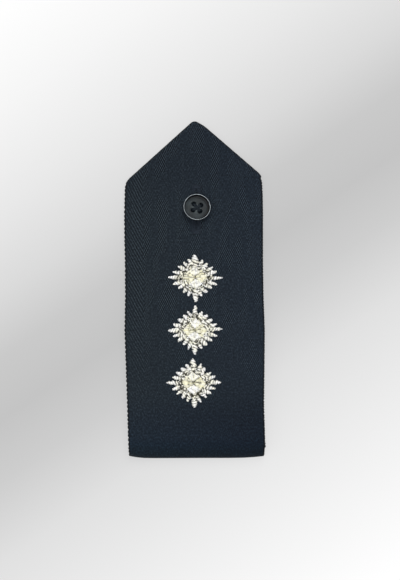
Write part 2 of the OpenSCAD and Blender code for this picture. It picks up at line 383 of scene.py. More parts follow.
def foldCorners(plan):
    # cloth outside a mitre line rolls over it: half a turn of the roll, then flat on the way back;
    # at the point the roll is a fan about the small circle's centre
    p = plan - mitre["centre"]
    outLeft, outRight = axes(p @ mitre["normals"].T)
    fan = (p @ mitre["downs"].T < 0).all(-1)
    normal = np.where((outLeft >= outRight)[..., None], *mitre["normals"])
    normal = np.where(fan[..., None], unit(p), normal)
    out = np.where(fan, np.linalg.norm(p, axis=-1), np.maximum(outLeft, outRight)) - mitre["radius"]
    radius = tape["rollRadius"]
    turn = np.clip(out / radius, 0, np.pi)
    back = np.clip(out - np.pi * radius, 0, None)
    reach = np.where(out > 0, radius * np.sin(turn) - back, out)
    return plan + (reach - out)[..., None] * normal, radius * (1 - np.cos(turn)), out


def roundShoulder(plan, which):
    # between the edge's and the slant's normals a point moves towards the circle's centre, by the
    # factor that brings the two straight sides onto the circle
    corner, radius = np.array(tape["shoulders"][which]), tape["shoulderRadii"][which]
    normal, edgeNormal = mitre["normals"][which], np.array([2.0 * which - 1, 0.0])
    slantLine = normal @ corner - tape["thickness"] / 2
    centre = np.linalg.solve([normal, edgeNormal], [slantLine - radius, edgeNormal @ corner - radius])
    p = plan - centre
    onSlant, onEdge, both = unit(p) @ normal, unit(p) @ edgeNormal, normal @ edgeNormal
    between = (onSlant - onEdge * both > 0) & (onEdge - onSlant * both > 0)
    return centre + p * np.where(between, np.maximum(onSlant, onEdge), 1.0)[..., None]


def foldedTape(across, along):
    # across runs from -1 at the left selvedge to 1 at the right one, along is the distance from the
    # tongue's end: the side view gives y and z, the edges x, and the head is folded in plan;
    # the last value is the distance from the nearest edge of the face
    y, z = (np.interp(along, side["s"], side[key]) for key in "yz")
    up, ends = y - strapLow[1], side["ends"]
    edgeUp, *edges = zip(*tape["edges"])
    left, right = (np.interp(up, edgeUp, edge) for edge in edges)
    peek, peekUp, peekOver = tape["peek"]
    right = right - np.where(along < ends[1], peek * bell(up - peekUp, peekOver), 0)
    halfWidth = (strapWidth - left - right) / 2
    x = strapLow[0] + left + (1 + across) * halfWidth
    fromFold = (along - (ends[1] + ends[2]) / 2) / tape["bowReach"]
    bowed = np.interp(x - strapLow[0], *zip(*tape["bow"])) * np.cos(np.clip(fromFold, -1, 1) * np.pi / 2) ** 2
    plan, drop, out = foldCorners(np.stack([x, y], -1))
    x, y = axes(roundShoulder(roundShoulder(plan, 0), 1))
    slumpX, slumpWidth, slumpDepth = tape["slump"]
    slump = slumpDepth * bell(x - slumpX, slumpWidth)
    y = y - slump * np.interp(y, tape["slumpRise"], (0, 1)) ** 2
    isFace = along > ends[3]
    height = np.where(isFace, faceMiddle(x, y), z) - drop
    fromOutline = np.where(isFace, np.abs(out - tape["rollRadius"] * np.pi / 2), np.inf)
    return np.stack([x, y + bowed, height], -1), np.minimum((1 - np.abs(across)) * halfWidth, fromOutline)


def placeOnFace(points, x, y, turn=0.0):
    # local millimetres, z up from the top of the cloth, to the sloping face at x, y; turn in degrees
    (px, py, z), slope = axes(spin(points, turn)), side["slope"]
    worldX, worldY = x + px, y + py * np.cos(slope) + z * np.sin(slope)
    cloth = faceMiddle(worldX, worldY) + tape["thickness"] / 2
    return np.stack([worldX, worldY, cloth + z * np.cos(slope)], -1)


buttonhole = {
    "centre": (0.95, 32.15),
    "length": 19.8,
    "width": 4.2,
    "slitLength": 16.4,
    "shankY": 0.85,  # where the shank pushes the lips apart, up from the centre
    "shankGap": 0.8,  # half gap there; elsewhere the lips touch
    "shankReach": 2.0,  # how far up and down it fades
    "spread": 2.5,  # how far to the sides the cloth gives way
    "drawn": 1.5,  # columns of the cloth that are drawn to the slit
    "pitch": 0.46,  # distance between stitches
    "thread": 0.44,  # thickness of the buttonhole thread
    "fromSlit": 0.02,  # between the lip stitches and the slit's edge
    "lipEnd": (0.1, 0.3),  # they end short of the width by this, and give way by this share of the gap
    "barLength": 1.35,  # of the bars at both ends, along the slit
    "barPitch": 0.374, "barInset": 0.2,  # between the bars' stitches, and from the first to the end
    "uneven": (0.05, 0.06),  # how far the ends of the lips' and of the bars' stitches stray
    # rise over its foot, foot over the cloth and fullness of a stitch
    "lipArch": (0.3, -0.16, 0.5), "barArch": (0.55, -0.2, 0.3),
}


def lipOpening(y):
    # half gap of the slit at a height above its centre: a bulge at the shank, times an ellipse
    t = np.clip(np.abs(y) / (buttonhole["slitLength"] / 2), 0, 1)
    bulge = buttonhole["shankGap"] * bell(y - buttonhole["shankY"], buttonhole["shankReach"])
    return bulge * np.sqrt(1 - t ** 2)


def tapeRows():
    # distances along the tape of the grid's rows, close together where the cloth turns
    ends = side["ends"]
    lastY = mitre["centre"][1] + mitre["radius"] + np.pi * tape["rollRadius"]
    last = np.interp(lastY, side["faceY"], side["faceS"])
    stops = [0, ends[1] - 2, ends[3] + 2, ends[4] - 4, last]  # the fold and the head get a margin
    runs = [np.linspace(a, b, int(np.ceil((b - a) / gap)) + 1)[:-1]
            for a, b, gap in zip(stops[:-1], stops[1:], tape["rowSpacing"])]
    return np.concatenate(runs + [[last]]), last


def makeTape():
    # one grid over the whole tape; along the buttonhole the column nearest to it is moved onto it and
    # doubled, and both lips move apart by the opening, less and less away from the slit
    rows, last = tapeRows()
    along, across = np.meshgrid(rows, np.linspace(-1, 1, tape["columns"]), indexing="ij")
    points, edge = foldedTape(across, along)
    quads = gridQuads(*across.shape)
    fromSlit, height = axes(points[..., :2] - buttonhole["centre"])
    middle = np.abs(fromSlit[np.abs(height[:, tape["columns"] // 2]).argmin()]).argmin()
    inSlit = np.abs(height[:, middle]) < buttonhole["slitLength"] / 2
    slitRows = np.flatnonzero((rows > side["ends"][3]) & inSlit)
    columns = np.arange(tape["columns"])
    opening = lipOpening(height) * np.exp(-np.abs(fromSlit) / buttonhole["spread"])
    toSlit = fromSlit[:, [middle]] * bell(columns - middle, buttonhole["drawn"])
    points[slitRows, :, 0] += (opening * np.where(columns <= middle, -1, 1) - toSlit)[slitRows]
    uv = np.stack([across * strapWidth / 2, along], -1)
    # the right lip has points of its own, after all others, and the quads right of the slit use them
    points, uv, edge = (np.concatenate([grid.reshape(along.size, -1), grid[slitRows, middle]])
                        for grid in (points, uv, edge[..., None]))
    points[along.size:, 0] += 2 * opening[slitRows, middle]
    swap = np.arange(len(points))
    swap[slitRows * len(columns) + middle] = np.arange(along.size, len(points))
    rightOfSlit = np.tile(columns[:-1], len(rows) - 1) == middle
    quads[rightOfSlit] = swap[quads[rightOfSlit]]
    piece = meshPiece("strap_cloth", points, [quads], uv=uv, slot="tape", replaces=["strap"],
                      attributes={"fromEdge": edge.ravel()})
    solid = piece.modifiers.new("clothThickness", "SOLIDIFY")
    solid.thickness, solid.offset = tape["thickness"] * mm, 0
    return piece, last


strapCloth, tapeLength = makeTape()
print("the tape is folded:", len(strapCloth.data.polygons), "faces,", round(float(tapeLength), 1), "mm long")


# threads: each is a closed tube along a short path

def threadTubes(paths, sideways, radius, sides=6, endShare=0.7):
    # paths is threads x steps x 3 and each lies in a plane whose normal is sideways; every ring is the
    # path's point plus radius times a circle in the plane of sideways and the path's own normal, and
    # one point closes each end; uv is the turn round the thread and the length along it
    paths, sideways = np.asarray(paths, float), unit(np.asarray(sideways, float))[:, None, :]
    threads, steps = paths.shape[:2]
    normal = unit(np.cross(sideways, unit(np.gradient(paths, axis=1))))
    circle = heading(np.arange(sides) * 2 * np.pi / sides) @ np.stack([sideways + 0 * normal, normal], -2)
    taper = np.where(np.arange(steps) % (steps - 1), 1, endShare)
    girth = np.broadcast_to(radius, (threads,))[:, None] * taper
    rings = paths[:, :, None] + girth[..., None, None] * circle
    points = np.concatenate([rings.reshape(threads, -1, 3), paths[:, :1], paths[:, -1:]], 1)
    length = np.cumsum(np.linalg.norm(np.diff(paths, axis=1, prepend=paths[:, :1]), axis=-1), 1)
    around, run = np.broadcast_arrays(np.arange(sides) / sides, length[..., None])
    uv = np.stack([around, run], -1).reshape(threads, -1, 2)
    ends = np.stack([0 * length, length], -1)[:, [0, -1]]
    shift = (np.arange(threads) * (steps * sides + 2))[:, None, None]
    faces = [(part + shift).reshape(-1, part.shape[1]) for part in tubeFaces(steps, sides)]
    return points.reshape(-1, 3), faces, np.concatenate([uv, ends], 1).reshape(-1, 2)


def archedPaths(starts, ends, rise, foot, fullness=0.5, steps=7):
    # stitches that come up at one end and go down at the other: the height is an arch that starts and
    # ends at foot and stands rise above it in the middle
    t = np.linspace(0, 1, steps)[:, None]
    plan = starts[:, None] + t * (ends - starts)[:, None]
    rise, foot = (np.broadcast_to(v, (len(starts),))[:, None, None] for v in (rise, foot))
    height = foot + rise * np.clip(1 - (2 * t - 1) ** 2, 0, 1) ** fullness
    return raised(plan, height[..., 0]), raised(leftOf(unit(ends - starts)), 0)


selvedge = {
    "pitch": {-1: 1.7, 1: 1.08},  # distance between the weft's turns at the left and right edge
    "jitter": 0.12,  # how unevenly the weft was beaten in, as a share of the pitch
    "fromEnd": 0.9,  # first and last turn, from the tape's ends
    "reach": 0.42,  # depth of a loop
    "inset": 0.72,  # share of that depth that stays inside the cloth's edge
    "halfLoop": 0.4,  # half the width of a loop, as a share of the pitch
    "sweep": 115.0,  # degrees of the loop to either side of its middle
    "rings": 7,  # along a loop
    "probe": (0.985, 0.2),  # the edge's directions are read here: share of the half width, mm along
    "thread": 0.47,
}


def makeSelvedges():
    # the weft turns back at each edge: a row of small half rings, each in the cloth's own plane
    random = np.random.default_rng(11)
    turn = np.radians(np.linspace(-selvedge["sweep"], selvedge["sweep"], selvedge["rings"]))[:, None]
    inward, ahead = selvedge["probe"]
    paths, sideways = [], []
    for edge, pitch in selvedge["pitch"].items():
        along = np.arange(selvedge["fromEnd"], tapeLength - selvedge["fromEnd"], pitch)
        along = along + random.uniform(-selvedge["jitter"], selvedge["jitter"], len(along)) * pitch
        border = np.full_like(along, edge)
        at, inside, after, before = (foldedTape(border * share, along + step)[0]
                                     for share, step in ((1, 0), (inward, 0), (1, ahead), (1, -ahead)))
        out, tangent = unit(at - inside), unit(after - before)
        paths.append(at[:, None] + out[:, None] * (np.cos(turn) - selvedge["inset"]) * selvedge["reach"]
                     + tangent[:, None] * np.sin(turn) * selvedge["halfLoop"] * pitch)
        sideways.append(np.cross(out, tangent))
    tubes = threadTubes(np.concatenate(paths), np.concatenate(sideways), selvedge["thread"] / 2)
    return meshPiece("selvedge_loops", *tubes, slot="tape")


selvedgeLoops = makeSelvedges()
print("the selvedges are turned")


def makeButtonhole():
    # lip stitches run from the slit out over the cloth, side by side; bars cross both ends
    random = np.random.default_rng(7)
    half, wide, bar = buttonhole["length"] / 2, buttonhole["width"] / 2, buttonhole["barLength"]
    y = np.arange(bar - half, half - bar, buttonhole["pitch"])
    inner = lipOpening(y) + buttonhole["fromSlit"]
    (short, give), (lipStray, barStray) = buttonhole["lipEnd"], buttonhole["uneven"]
    starts, ends = [], []
    for lip in (-1, 1):
        stray = random.uniform(-lipStray, lipStray, (len(y), 2))
        starts.append(np.stack([lip * inner, y], -1))
        ends.append(np.stack([lip * (wide - short + give * inner), y], -1) + stray)
    lips = archedPaths(np.concatenate(starts), np.concatenate(ends), *buttonhole["lipArch"])
    barY = half - np.arange(buttonhole["barInset"], bar, buttonhole["barPitch"])
    starts = np.concatenate([np.stack([np.full_like(barY, -wide), end * barY], -1) for end in (-1, 1)])
    ends = starts * [-1, 1] + random.uniform(-barStray, barStray, starts.shape)
    bars = archedPaths(starts, ends, *buttonhole["barArch"])
    paths, sideways = (np.concatenate(both) for both in zip(lips, bars))
    tubes = threadTubes(placeOnFace(paths, *buttonhole["centre"]), sideways, buttonhole["thread"] / 2)
    return meshPiece("buttonhole_stitches", *tubes, slot="buttonhole_stitching",
                     replaces=["buttonhole_binding"])


buttonholeStitches = makeButtonhole()
print("the buttonhole is worked")


# the button and its thread

button = {
    "centre": (1.06, 32.56),
    "turn": -9.0,  # degrees in plan
    "tilt": 13.0,  # degrees that the button leans on its slack shank
    "tiltAway": 20.0,  # degrees of the side that is up, from the foot to the left
    "pivot": 0.6,  # height of the leaning line above the underside
    "height": 1.1,  # underside of the middle above the cloth
    "padRadius": 3.4,  # the holes lie in this middle part
    "faceHeight": 1.2,
    "dish": 0.1,  # how much lower the very middle is
    "holeRadius": 0.95,
    "hole": (1.42, 1.28),  # from the button's middle to a hole's
    "holeBevel": 0.16,
    "holeWaist": (0.02, 0.1),  # inside, a hole is narrower by this, from this height on
    "bevelBow": (0.3, 0.25),  # the bevel's middle: out, and down from its edge, as shares of it
    # painted shade in the groove inside the rim is centred off the middle, so it is blackest at the upper
    # right, where the rim shades it
    "shadeOffset": (0.4, 0.3),  # the groove's blackness lies off the middle by this
    "thread": 0.44,
    "strandGap": 0.84,  # between the strands, in thread thicknesses
    "strandEnds": 1.2,  # half a strand's length over the part of it that runs to its hole
    "strandSink": (0.7, 1.5, 1.6),  # from this share of that half on it goes down: how deep, what power
    "strandNarrow": 0.4,  # share by which a bundle draws together at its ends
    "strandLow": 0.22,  # how much lower its outer strands lie, in thread thicknesses
    "strandStray": 0.03,  # how far a strand strays to the side
    "crossRise": (0.5, 0.3),  # of the upper bundle over the lower: thread thicknesses, over what share
    "shankX": -0.2,
    "shankFoot": -1.6,  # under the top of the cloth
    "shankHead": 0.05,  # over the button's underside
    "shankRadius": 0.5, "windDepth": 0.14, "windPitch": 0.36,
    "flare": (0.55, 1.15, 0.7),  # the shank widens to the button: from, to, by how much
    # points of the mesh: round a quarter of the rim, along a quadrant's sides, from a hole to the
    # border, along the outline; along a strand; along and round the shank
    "steps": (25, 9, 7, 61), "strandSteps": 15, "shankSteps": (46, 20),
    # half of the outline, from the flat underside round the rim to the dished face: radius, height
    "profile": ((3.4, 0.0), (4.1, 0.06), (4.85, 0.34), (5.28, 0.72), (5.46, 1.1), (5.51, 1.5), (5.47, 1.82),
                (5.36, 2.03), (5.22, 2.06), (5.1, 1.9), (5.0, 1.6), (4.88, 1.26), (4.6, 1.06), (4.25, 1.08),
                (3.85, 1.17), (3.4, 1.2)),
}


def smoothLine(points, count):
    # smooth curve through the points: between two of them a cubic, whose slope at each point is half the
    # step between the points beside it
    padded = np.concatenate([[2 * points[0] - points[1]], points, [2 * points[-1] - points[-2]]])
    t = np.linspace(0, len(points) - 1, count)
    i = np.minimum(t.astype(int), len(points) - 2)
    f = (t - i)[:, None]
    a, b, c, d = (padded[i + k] for k in range(4))
    square, cube = 2 * a - 5 * b + 4 * c - d, 3 * b - a - 3 * c + d
    return 0.5 * (2 * b + (c - a) * f + square * f ** 2 + cube * f ** 3)


def tiltButton(points):
    # turn in the button's own plane, tilt about a line in that plane, and turn that line back
    tilt = np.radians(button["tilt"])
    x, y, z = axes(spin(points, button["turn"] + button["tiltAway"]) - [0, 0, button["pivot"]])
    y, z = y * np.cos(tilt) + z * np.sin(tilt), z * np.cos(tilt) - y * np.sin(tilt)
    return spin(np.stack([x, y, z + button["pivot"] + button["height"]], -1), -button["tiltAway"])


def makeButton():
    # the rim is the profile turned about the axis; the middle is four quadrants, each ruled from its
    # hole's edge out to the quadrant's border, with the hole's wall between top and underside
    pad, hole, top = button["padRadius"], np.array(button["hole"]), button["faceHeight"]
    radius, bevel = button["holeRadius"], button["holeBevel"]
    arcSteps, sideSteps, ruleSteps, outlineSteps = button["steps"]
    arc, straight = np.linspace(0, np.pi / 2, arcSteps), np.linspace(0, pad, sideSteps)[:, None]
    border = np.concatenate([straight[:-1] * [1, 0], pad * heading(arc), straight[-2:0:-1] * [0, 1]])
    outward = unit(border - hole)
    share = np.linspace(0, 1, ruleSteps)[1:]

    def faceHeight(plan):
        # a shallow parabola, lowest in the middle
        return top - button["dish"] * (1 - (np.linalg.norm(plan, axis=-1) / pad) ** 2)

    wall, lip = hole + outward * radius, hole + outward * (radius + bevel)
    lipZ, (waist, waistZ), (bowOut, bowDown) = faceHeight(lip), button["holeWaist"], button["bevelBow"]
    # in over the underside, up the hole's wall, over its bevel and out over the face
    rings = [raised(wall + (border - wall) * t, 0) for t in share[::-1]]
    rings += [raised(hole + outward * (radius + out), z) for out, z in (
        (waist, 0), (-waist, waistZ), (-waist, lipZ - bevel), (bowOut * bevel, lipZ - bowDown * bevel),
        (bevel, lipZ))]
    rings += [raised(plan, faceHeight(plan)) for plan in (lip + (border - lip) * t for t in share)]
    quadrant = np.array(rings)
    quads = gridQuads(*quadrant.shape[:2], around=True)
    parts = [(quadrant.reshape(-1, 3) * [sx, sy, 1], [quads if sx * sy < 0 else quads[:, ::-1]])
             for sx, sy in ((1, 1), (-1, 1), (-1, -1), (1, -1))]
    outline = smoothLine(np.array(button["profile"]), outlineSteps)[:, None]
    around = heading(np.concatenate([arc[:-1] + k * np.pi / 2 for k in range(4)]))
    rim = raised(outline[..., :1] * around, outline[..., 1])
    parts.append((rim.reshape(-1, 3), [gridQuads(*rim.shape[:2], around=True)]))
    local, faces = joinParts(parts)
    # fromMiddle is measured from a point off the axis, which moves the painted shade in the groove and the
    # painted highlight over the middle
    piece = meshPiece("sewn_button", placeOnFace(tiltButton(local), *button["centre"]), faces, slot="button",
                      attributes={"fromMiddle": np.linalg.norm(local[:, :2] + button["shadeOffset"], axis=-1),
                                  "aboveBase": local[:, 2]},
                      replaces=["button"])
    closeSeams(piece)
    return piece


sewnButton = makeButton()
print("the button is turned")


def makeButtonThread():
    # two crossing bundles of three strands over the face, each strand down through its two holes, and
    # a wound shank whose radius follows the helix of the winding
    random = np.random.default_rng(11)
    strand, stray, hole = button["thread"], button["strandStray"], np.array(button["hole"])
    t = np.linspace(-1, 1, button["strandSteps"])
    toHole = np.sign(t) * np.minimum(np.abs(t) * button["strandEnds"], 1) * np.hypot(*hole)
    (sinkFrom, depth, power), (over, overShare) = button["strandSink"], button["crossRise"]
    sink = depth * np.clip((np.abs(t) - sinkFrom) / (1 - sinkFrom), 0, 1) ** power
    narrowed = 1 - button["strandNarrow"] * t ** 4
    paths, sideways = [], []
    for order, corner in enumerate(([1, 1], [1, -1])):
        direction = unit(hole * corner)
        for k in (-1, 0, 1):
            offset = k * strand * button["strandGap"] + random.uniform(-stray, stray)
            plan = toHole[:, None] * direction + (offset * narrowed)[:, None] * leftOf(direction)
            z = (button["faceHeight"] + strand * (0.5 - button["strandLow"] * abs(k))
                 + order * strand * over * bell(t, overShare) - sink)
            paths.append(raised(plan, z))
            sideways.append([*leftOf(direction), 0])
    strands, strandFaces, uv = threadTubes(paths, sideways, strand / 2, sides=8)
    rows, columns = button["shankSteps"]
    height = np.linspace(button["shankFoot"], button["height"] + button["shankHead"], rows)[:, None]
    turn = np.arange(columns) / columns
    flareFrom, flareTo, flare = button["flare"]
    wind = button["windDepth"] * np.abs(np.sin(np.pi * (height / button["windPitch"] + turn)))
    radius = button["shankRadius"] + wind + flare * np.interp(height, (flareFrom, flareTo), (0, 1)) ** 2
    rings = raised(radius[..., None] * heading(2 * np.pi * turn) + [button["shankX"], 0], height)
    shank = closedTube(rings, *([button["shankX"], 0, height[k, 0]] for k in (0, -1)))
    points, faces = joinParts([(tiltButton(strands), strandFaces), shank])
    uv = np.pad(uv, ((0, len(shank[0])), (0, 0)))
    points = placeOnFace(points, *button["centre"])
    return meshPiece("button_stitches", points, faces, uv, slot="sewing_thread", replaces=["button_thread"])


buttonStitches = makeButtonThread()
print("the button is sewn on")


# the pips: satin stitches over low padding

pips = {
    # node, x, y, turn in degrees, and the reach of the right, upper, left and lower ray
    "places": (("pip_top", 0.38, 4.76, 0.4, (11.1, 9.45, 10.7, 9.8)),
               ("pip_middle", 0.34, -16.16, 0.8, (11.0, 10.0, 11.0, 9.9)),
               ("pip_bottom", -0.10, -37.28, 1.2, (10.9, 9.8, 10.9, 9.75))),
    "mainWidths": (1.9, 2.5),  # of the level rays and of the upright ones
    "diamond": (4.86, 4.6),  # half width and half height of the four petals together
    "thread": 0.38,
    "threadPitch": 0.31,  # between the threads of a ray
    "mostThreads": 40,  # in a ray
    "beadThreads": 3,  # in each bead that the threads of a ray bunch up to
    "beadGap": 0.34,  # extra distance between beads
    "gapFade": (1.3, 0.12, 0.35, 1.2),  # share of it at the root, less for each thread, least, most
    "rayRoot": (1.04, 0.3),  # where a ray begins: share of the way to the petals' outline, mm more
    "rayTip": 0.12,  # length of a ray's tip without a thread
    "rayRise": 0.75, "rayFoot": -0.06,
    "slant": 0.4,  # of a ray's threads: along the ray, for each mm to the side
    # gapShade is painted shade on the first thread of each bead, which lies in the gap
    "rootWarmth": 0.4, "beadShade": 0.7, "gapShade": 0.8,  # all fade towards the tip
    "tipGirth": ((0.55, 1.0), (1.0, 0.72)),  # threads are thinner towards the tip: where, how thick
    "petalPitch": 0.34, "petalInset": 0.12,  # between stitches, and from the side to the first
    "petalLap": 0.1,  # of a stitch's two lengths
    "petalSides": (0.42, 0.5),  # share of a petal's length from its start to its widest place, behind it
    "petalArch": (0.5, 0.2, 0.1, 0.25),  # rise at its side, more in its middle; foot likewise
    # olive streak level across the middle, and the dark stitches of painted shade along the creases: places
    # of the stitches, rise, foot, warmth
    "streak": (-1.6, 1.7, 0.36), "streakLook": (0.3, 0.85, 1.0),
    "seam": (0.75, 1.15, 1.55, 1.95), "shadedCreaseLook": (0.25, 0.85, 0.8),
    "shadedCreaseSlope": 0.95, "shadedCreaseStitch": 0.2,  # rise of the painted crease shade for each mm out, half a stitch
    # rounds of small stitches between petals and rays, the darkest of them painted shade in the gaps: place
    # as in rayRoot, foot, commonest shade
    "cornerRounds": ((1.0, 0.1, 0.1, 0.1), (1.1, 0.55, 0.3, 1.0),
                     (1.3, 0.5, 0.3, 1.0), (1.5, 0.4, 0.3, 1.0)),
    "cornerThreads": 48, "cornerShades": (0.0, 0.1, 1.0),  # in a round, and the shades among them
    "cornerShort": 0.35,  # how much shorter the darkest are
    "cornerStart": 4,  # degrees, of the first one in each round
    # of the padding; it starts under the top of the cloth
    "domeRadius": 5.6, "domeRise": 0.42, "domeFoot": -0.1, "leafRise": 0.34, "leafFoot": -0.06,
    "leaf": (0.4, 0.3, 0.36),  # begins before a ray's root, ends before its tip, share of its width
    "domeSteps": (9, 40), "leafSteps": (9, 12),  # points of the mesh, along and round
    # rays of a quarter: angle from the side ray, reach, width, and the lean of its upper left and lower
    # right copies, whose satin runs further round
    "quarterRays": ((16, 9.2, 1.8, 4), (32, 8.25, 1.95, 9), (51, 7.85, 2.0, 12), (69, 8.2, 1.85, 14)),
    # half width along a ray and height along a leaf: where, and what share of the most
    "rayShape": ((0, 0.2, 0.42, 0.72, 0.92, 1.0), (0.7, 0.95, 1.02, 0.8, 0.4, 0.14)),
    "leafShape": ((0, 0.1, 0.85, 1), (0.2, 1, 0.85, 0.2)),
    # angle, where it begins, half width, foot, how warm its thread is, how dark its darkest is
    # the level petals' warmer, darker cast is painted light: their stitches catch less of the light than the
    # upright petals'
    "petals": ((0, -0.1, 2.65, 0.0, 0.6, 0.8), (180, -0.1, 2.65, 0.0, 0.6, 0.8),
               (90, 0.42, 2.1, 0.15, 0.25, 0.45), (270, 0.5, 2.45, 0.15, 0.1, 0.35)),
    # how much stitches differ, least and most: Angle and Lean in degrees, Turn in radians, else mm or
    # shares
    "variety": {
        "rayAngle": (-1.5, 1.5), "rayReach": (0.975, 1.015), "rayWidth": (0.93, 1.07),
        "rayLean": (-3, 3), "step": (0.85, 1.15), "half": (0.78, 1.1), "rise": (0.85, 1.12),
        "girth": (0.92, 1.08), "any": (0, 1), "beadHalf": (0.72, 1.2), "beadSlant": (-0.25, 0.25),
        "beadWarmth": (-0.15, 0.22), "petalAngle": (-4, 4), "petalEnds": (-0.16, 0.16),
        "petalJoin": (0.35, 0.65), "petalSkew": (-0.12, 0.12), "petalWarmth": (-0.2, 0.3),
        "streakUp": (-0.02, 0.18), "streakTurn": (-0.35, 0.35), "streakReach": (0.3, 0.5),
        "streakShade": (0.4, 0.9), "seamPlace": (-0.15, 0.15), "seamShade": (0.0, 0.9),
        "cornerAngle": (-3, 3), "cornerPlace": (-0.15, 0.15), "cornerTurn": (-0.9, 0.9),
        "cornerReach": (0.22, 0.42), "cornerRise": (0.25, 0.5), "cornerWarmth": (0.0, 0.6),
    },
}


def toDiamond(direction):
    # distance from the middle to the outline of the petals, where |x| / a + |y| / b is 1
    return 1 / (np.abs(direction) / pips["diamond"]).sum(-1)


def sewRays(sew, vary, random, tips):
    # a ray is a row of threads across its axis, in beads: each thread starts and ends half a width to
    # either side and slants along the axis; one bead's threads share width, slant and shade
    most, beads, slope = pips["mostThreads"], pips["mostThreads"] + 1, pips["slant"]
    (rootShare, rootMore), (gapShare, gapFade, *gapLimits) = pips["rayRoot"], pips["gapFade"]
    beforeRoot, beforeTip, leafShare = pips["leaf"]
    rays = [(90 * k, reach, pips["mainWidths"][k % 2], 0) for k, reach in enumerate(tips)]
    for angle, reach, width, lean in pips["quarterRays"]:
        rays += [(angle, reach, width, 0), (180 - angle, reach, width, lean), (180 + angle, reach, width, 0),
                 (360 - angle, reach, width, lean)]
    leaves = []
    for angle, reach, width, lean in rays:
        isMain = angle % 90 == 0
        angle = angle + vary("rayAngle")
        root = toDiamond(heading(np.radians(angle))) * rootShare + rootMore
        uneven = vary("rayReach")
        reach, width = reach if isMain else reach * uneven, width * vary("rayWidth")
        tip = reach * heading(np.radians(angle))
        axis = heading(np.radians(angle + lean + vary("rayLean")))  # it turns about its tip
        origin = tip - reach * axis
        newBead = (np.arange(most) + random.integers(0, pips["beadThreads"])) % pips["beadThreads"] == 0
        gaps = pips["beadGap"] * np.clip(gapShare - np.arange(most) * gapFade, *gapLimits)
        steps = pips["threadPitch"] * vary("step", most) + gaps * newBead
        s = root + np.cumsum(steps) - steps[0]
        s = s[s < reach - pips["rayTip"]]
        newBead, bead = newBead[:len(s)], np.cumsum(newBead)[:len(s)]
        t = (s - root) / (reach - root)
        half = np.interp(t, *pips["rayShape"]) * width / 2 * vary("half", len(s))
        half = half * vary("beadHalf", beads)[bead]
        slant = random.choice([-slope, slope]) + vary("beadSlant", beads)[bead]
        centres = origin + s[:, None] * axis
        offset = half[:, None] * leftOf(axis) - (slant * half)[:, None] * axis
        rise = pips["rayRise"] * (0.5 + half / width) * vary("rise", len(s))
        warmth = pips["rootWarmth"] * (1 - t) + vary("beadWarmth", beads)[bead]
        # painted shade on the thread that lies in each bead's gap, and a random tone for each bead
        shade = (pips["beadShade"] * vary("any", beads)[bead] ** 3 * (1.1 - t) ** 2
                 + pips["gapShade"] * newBead * (1.1 - t) ** 1.5)
        sew(centres + offset, centres - offset, rise, pips["rayFoot"], warmth, shade,
            np.interp(t, *pips["tipGirth"]))
        leaves.append((origin, axis, root - beforeRoot, reach - beforeTip, width * leafShare))
    return leaves


def sewPetals(sew, vary):
    # a petal is a kite filled with stitches along its axis, each in two lengths: a stitch at a share of
    # the half width begins that share of the way to the kite's widest place and ends as far behind it
    (before, behind), (side, crest, low, high) = pips["petalSides"], pips["petalArch"]
    for angle, start, widest, foot, warmth, darkest in pips["petals"]:
        axis = heading(np.radians(angle + vary("petalAngle")))
        length = pips["diamond"][1 if angle % 180 else 0]
        aside = np.arange(-widest + pips["petalInset"], widest, pips["petalPitch"])
        share, count = np.abs(aside) / widest, len(aside)
        ragged = vary("petalEnds", (2, count))
        first = start + share * before * (length - start) + ragged[0]
        last = length - share * behind * (length - start) + ragged[1]
        middle = first + (last - first) * vary("petalJoin", count)
        skew, crown = vary("petalSkew"), 1 - share ** 2
        for near, far in ((first, middle), (middle, last)):
            shade = darkest * vary("any", count) ** 4
            starts, ends = (reach[:, None] * axis + (aside + skew * at)[:, None] * leftOf(axis)
                            for reach, at in ((near, near), (far + pips["petalLap"], far)))
            sew(starts, ends, side + crest * crown, foot + low + high * crown,
                warmth + vary("petalWarmth", count), shade)


def sewMiddle(sew, vary, random):
    # small stitches to either side of their centres: a short olive streak level across the very middle,
    # dark stitches of painted shade along the creases at the upper petal's lower sides, and four rounds that
    # fill the corners between the petals and the roots of the rays, whose darkest are painted shade in the
    # gaps
    x = np.arange(*pips["streak"])
    centre = np.stack([x, vary("streakUp", len(x))], -1)
    reach = heading(vary("streakTurn", len(x))) * vary("streakReach", (len(x), 1))
    sew(centre - reach, centre + reach, *pips["streakLook"], vary("streakShade", len(x)))
    # dark stitches of painted shade along the creases at the upper petal's lower sides
    count = len(pips["seam"])
    seam = np.stack([np.repeat([-1, 1], count), np.ones(2 * count)], -1)
    at = np.tile(pips["seam"], 2) + vary("seamPlace", 2 * count)
    centre, reach = at[:, None] * seam * [1, pips["shadedCreaseSlope"]], pips["shadedCreaseStitch"] * seam
    sew(centre - reach, centre + reach, *pips["shadedCreaseLook"], vary("seamShade", 2 * count))
    count = pips["cornerThreads"]
    for share, more, foot, commonest in pips["cornerRounds"]:
        even = np.arange(pips["cornerStart"], 360, 360 / count)
        around = np.radians(even + vary("cornerAngle", count))
        far = toDiamond(heading(around)) * share + more + vary("cornerPlace", count)
        centre = far[:, None] * heading(around)
        along = heading(around + np.pi / 2 + vary("cornerTurn", count))
        # the darkest are painted shade in the gaps between the petals and the rays' roots
        shade = random.choice([*pips["cornerShades"], commonest], count)
        reach = (vary("cornerReach", count) * (1 - pips["cornerShort"] * shade))[:, None] * along
        sew(centre - reach, centre + reach, vary("cornerRise", count), foot,
            vary("cornerWarmth", count), shade)


